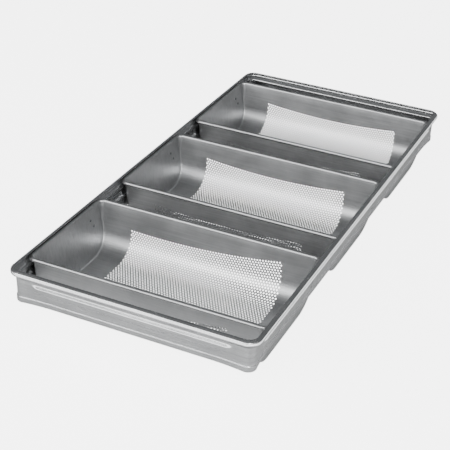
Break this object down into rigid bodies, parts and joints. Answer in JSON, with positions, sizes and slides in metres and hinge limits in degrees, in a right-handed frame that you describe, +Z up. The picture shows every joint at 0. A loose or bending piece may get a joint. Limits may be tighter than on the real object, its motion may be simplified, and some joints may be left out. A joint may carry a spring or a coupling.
{
  "type": "baguette tray",
  "caption": "Bakery tray of open baguette pans with rounded floors and wired rims, hung side by side in one riveted, ribbed sheet-steel band.",
  "frame": {"origin": "on the surface that the pans stand on, under the middle of the tray", "axes": "+Z up, +Y across the pans towards the back pan, +X along the pans to the right"},
  "size_m": [0.3348, 0.721, 0.0755],
  "materials": {
    "pan_steel": "satin aluminised sheet",
    "band_steel": "satin aluminised strip",
    "wire_steel": "drawn",
    "rivet_steel": "satin"
  },
  "bodies": {
    "root": {"band": "band_steel", "pan_front_trough": "pan_steel", "pan_front_rim_wire": "wire_steel", "pan_front_left_cap": "pan_steel", "rivet_front_left_upper": "rivet_steel", "rivet_front_left_lower": "rivet_steel", "pan_front_right_cap": "pan_steel", "rivet_front_right_upper": "rivet_steel", "rivet_front_right_lower": "rivet_steel", "pan_middle_trough": "pan_steel", "pan_middle_rim_wire": "wire_steel", "pan_middle_left_cap": "pan_steel", "rivet_middle_left_upper": "rivet_steel", "rivet_middle_left_lower": "rivet_steel", "pan_middle_right_cap": "pan_steel", "rivet_middle_right_upper": "rivet_steel", "rivet_middle_right_lower": "rivet_steel", "pan_back_trough": "pan_steel", "pan_back_rim_wire": "wire_steel", "pan_back_left_cap": "pan_steel", "rivet_back_left_upper": "rivet_steel", "rivet_back_left_lower": "rivet_steel", "pan_back_right_cap": "pan_steel", "rivet_back_right_upper": "rivet_steel", "rivet_back_right_lower": "rivet_steel"}
  },
  "joints": []
}
